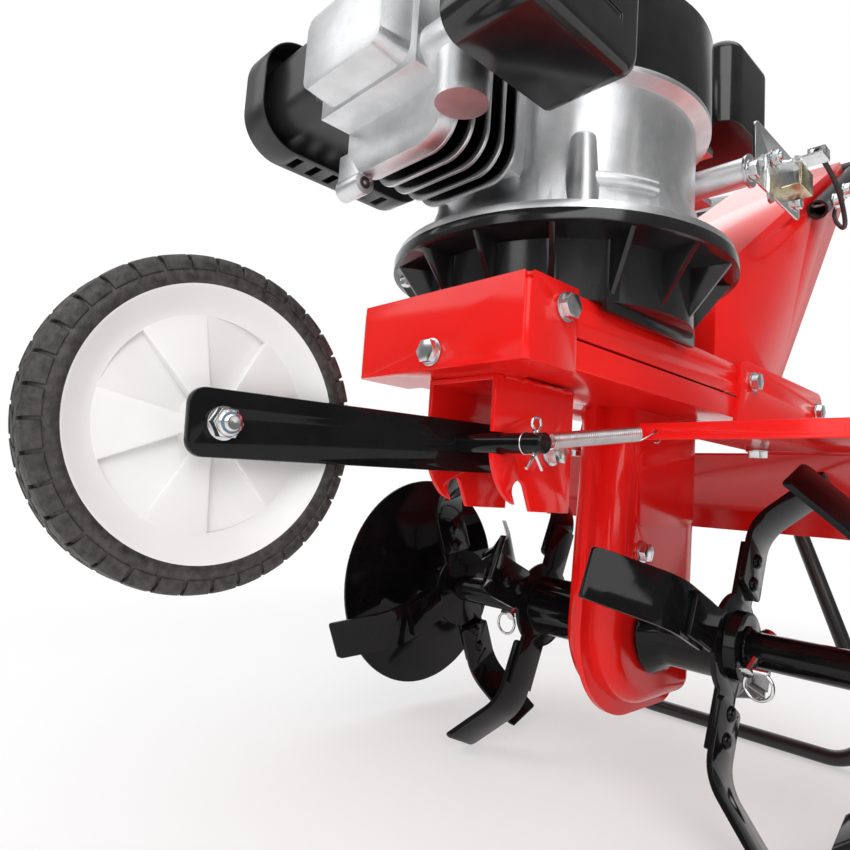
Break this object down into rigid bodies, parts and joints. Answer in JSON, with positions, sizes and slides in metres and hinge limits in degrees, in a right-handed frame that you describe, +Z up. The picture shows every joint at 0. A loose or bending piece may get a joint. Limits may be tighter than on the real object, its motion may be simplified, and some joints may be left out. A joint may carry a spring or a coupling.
{
  "type": "garden tiller",
  "caption": "Petrol garden tiller with a front transport wheel on a latched arm, curved tines under a fender, a vertical-shaft engine and tall handlebars.",
  "frame": {"origin": "bottom centre of the bounding box, on the ground", "axes": "+Z up, -Y forward towards the transport wheel, +X the machine's left side"},
  "size_m": [0.604, 1.4515, 0.9624],
  "materials": {
    "red_paint": "gloss",
    "black_paint": "gloss",
    "black_steel_tube": "satin",
    "zinc": "bright zinc",
    "steel": "machined",
    "cast_alloy": "cast",
    "black_plastic": "satin",
    "white_plastic": "gloss",
    "tyre_rubber": "matte",
    "black_rubber": "matte",
    "dark_sheet": "heat-proof black",
    "belt_rubber": "fabric wrapped",
    "brass_alloy": "machined"
  },
  "bodies": {
    "frame": {"front_box": "red_paint", "upper_deck": "red_paint", "belly_pan": "red_paint", "lug_plates": "red_paint", "tine_fender": "red_paint", "handle_column": "red_paint", "wheel_bracket": "red_paint", "left_gear_case": "red_paint", "right_gear_case": "red_paint", "frame_bolts": "zinc", "pivot_bolt": "zinc", "gear_case_bearings": "steel", "drive_belt": "belt_rubber", "engine_adapter": "black_plastic", "crankcase": "cast_alloy", "cylinder": "cast_alloy", "cylinder_head": "cast_alloy", "muffler": "dark_sheet", "muffler_shield": "dark_sheet", "spark_plug_cap": "black_rubber", "blower_housing": "black_plastic", "starter_handle": "black_plastic", "fuel_tank": "black_plastic", "air_filter": "black_plastic", "carburettor": "cast_alloy", "control_bracket": "zinc", "handlebars": "black_steel_tube", "hand_grips": "black_rubber", "lever_clamps": "black_plastic", "throttle_cable": "black_rubber", "clutch_cable": "black_rubber"},
    "arm": {"wheel_arm": "black_paint", "axle_bolt": "zinc"},
    "wheel": {"wheel_rim": "white_plastic", "tyre": "tyre_rubber"},
    "latch": {"latch_rod": "black_paint", "latch_clip": "zinc", "latch_spring": "zinc"},
    "tines": {"tine_shaft": "steel", "worm_wheel": "brass_alloy", "left_inner_tines": "black_paint", "right_inner_tines": "black_paint", "left_outer_tines": "black_paint", "right_outer_tines": "black_paint", "left_blades": "black_paint", "right_blades": "black_paint", "plant_discs": "black_paint", "hub_pins": "zinc"},
    "worm": {"worm_shaft": "steel", "driven_pulley": "steel"},
    "crank": {"crankshaft": "cast_alloy", "engine_pulley": "cast_alloy"},
    "idler": {"idler_arm": "zinc"},
    "idler_roller": {"idler_pulley": "steel"},
    "clutch": {"clutch_lever": "black_plastic"},
    "throttle": {"throttle_lever": "black_plastic"},
    "governor": {"governor_lever": "zinc"},
    "tank_cap": {"fuel_cap": "black_plastic"},
    "dipstick": {"oil_dipstick": "black_plastic"},
    "stand": {"rear_stand": "black_steel_tube"}
  },
  "joints": [
    {"name": "arm_swing", "type": "hinge", "parent": "frame", "child": "arm", "pos_m": [0, -0.36625, 0.317], "axis": [1, 0, 0], "range_deg": [0, 43]},
    {"name": "wheel_spin", "type": "hinge", "parent": "arm", "child": "wheel", "pos_m": [-0.029, -0.62575, 0.3095], "axis": [1, 0, 0], "continuous": true},
    {"name": "latch_pull", "type": "slide", "parent": "frame", "child": "latch", "axis": [0, -1, 0], "range_m": [0, 0.018], "stiffness_N_per_m": 400, "springref_m": -0.02, "deforming": ["latch_spring"]},
    {"name": "tine_spin", "type": "hinge", "parent": "frame", "child": "tines", "pos_m": [0, -0.17425, 0.16], "axis": [1, 0, 0], "continuous": true},
    {"name": "worm_spin", "type": "hinge", "parent": "frame", "child": "worm", "pos_m": [0, -0.12825, 0.16], "axis": [0, 0, 1], "continuous": true},
    {"name": "crank_spin", "type": "hinge", "parent": "frame", "child": "crank", "pos_m": [0, -0.31825, 0.4], "axis": [0, 0, 1], "continuous": true},
    {"name": "clutch_squeeze", "type": "hinge", "parent": "frame", "child": "clutch", "pos_m": [-0.27, 0.58175, 0.892], "axis": [1, 0, 0], "range_deg": [0, 12], "stiffness_Nm_per_rad": 2, "springref_deg": -5.73},
    {"name": "idler_swing", "type": "hinge", "parent": "frame", "child": "idler", "pos_m": [-0.008, -0.20825, 0.376], "axis": [0, 0, 1], "range_deg": [0, 20]},
    {"name": "idler_spin", "type": "hinge", "parent": "idler", "child": "idler_roller", "pos_m": [0.01, -0.24225, 0.39], "axis": [0, 0, 1], "continuous": true},
    {"name": "throttle_turn", "type": "hinge", "parent": "frame", "child": "throttle", "pos_m": [0.24, 0.58175, 0.92], "axis": [-1, 0, 0], "range_deg": [0, 50]},
    {"name": "governor_turn", "type": "hinge", "parent": "frame", "child": "governor", "pos_m": [0.126, -0.17225, 0.6099], "axis": [1, 0, 0], "range_deg": [0, 25]},
    {"name": "tank_cap_turn", "type": "hinge", "parent": "frame", "child": "tank_cap", "pos_m": [0, -0.13725, 0.759], "axis": [0, 0, 1], "range_deg": [0, 90]},
    {"name": "dipstick_turn", "type": "hinge", "parent": "frame", "child": "dipstick", "pos_m": [-0.141, -0.26725, 0.62], "axis": [0, 0, 1], "range_deg": [0, 90]},
    {"name": "stand_swing", "type": "hinge", "parent": "frame", "child": "stand", "pos_m": [0, 0.10575, 0.408], "axis": [1, 0, 0], "range_deg": [0, 95]}
  ],
  "couplings": [
    {"joint": "worm_spin", "follows": "tine_spin", "ratio": 30},
    {"joint": "idler_swing", "follows": "clutch_squeeze", "ratio": 1.6667},
    {"joint": "governor_turn", "follows": "throttle_turn", "ratio": 0.5}
  ]
}
